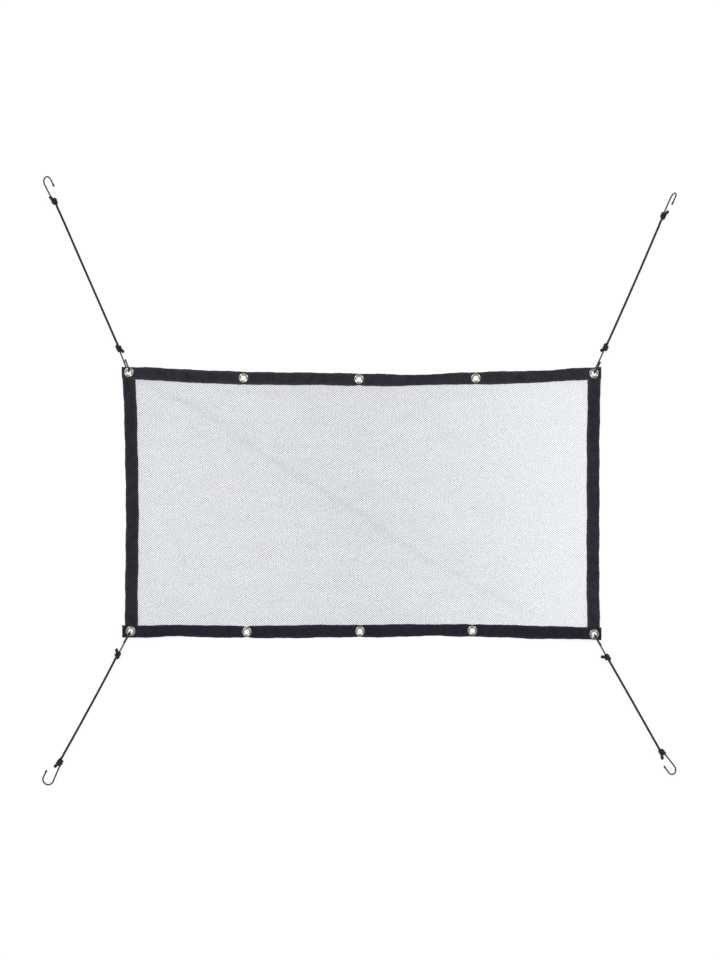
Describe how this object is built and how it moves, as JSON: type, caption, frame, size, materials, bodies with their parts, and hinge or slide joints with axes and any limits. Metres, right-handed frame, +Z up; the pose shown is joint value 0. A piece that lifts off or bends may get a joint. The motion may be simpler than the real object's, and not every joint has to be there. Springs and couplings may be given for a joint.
{
  "type": "car barrier net",
  "caption": "See-through net panel bound in black webbing, with eyelets along both long edges and bungee cords with wire hooks at the corners, for closing off part of a car.",
  "frame": {"origin": "on the floor under the middle of the laid-out cloth", "axes": "+X along the long edges, +Y from the bottom edge to the top edge, +Z up out of the face"},
  "size_m": [1.6819, 1.6146, 0.0332],
  "materials": {
    "netting": "black knitted netting, thin threads in a diamond mesh",
    "webbing": "matt black woven webbing, folded and sewn",
    "eyelet_brass": "pale polished brass",
    "shock_cord": "black braided sheath over rubber",
    "hook_wire": "black coated wire with a dipped tip"
  },
  "bodies": {
    "root": {"net_panel": "netting", "strap_top": "webbing", "strap_bottom": "webbing", "strap_left": "webbing", "strap_right": "webbing", "eyelet_top_1": "eyelet_brass", "eyelet_top_2": "eyelet_brass", "eyelet_top_3": "eyelet_brass", "eyelet_top_4": "eyelet_brass", "eyelet_top_5": "eyelet_brass", "eyelet_bottom_1": "eyelet_brass", "eyelet_bottom_2": "eyelet_brass", "eyelet_bottom_3": "eyelet_brass", "eyelet_bottom_4": "eyelet_brass", "eyelet_bottom_5": "eyelet_brass", "knot_near_top_left": "shock_cord", "knot_far_top_left": "shock_cord", "knot_near_top_right": "shock_cord", "knot_far_top_right": "shock_cord", "knot_near_bottom_left": "shock_cord", "knot_far_bottom_left": "shock_cord", "knot_near_bottom_right": "shock_cord", "knot_far_bottom_right": "shock_cord", "cord_top_left": "shock_cord", "cord_top_right": "shock_cord", "cord_bottom_left": "shock_cord", "cord_bottom_right": "shock_cord", "hook_near_top_left": "hook_wire", "hook_far_top_left": "hook_wire", "hook_near_top_right": "hook_wire", "hook_far_top_right": "hook_wire", "hook_near_bottom_left": "hook_wire", "hook_far_bottom_left": "hook_wire", "hook_near_bottom_right": "hook_wire", "hook_far_bottom_right": "hook_wire"}
  },
  "joints": []
}
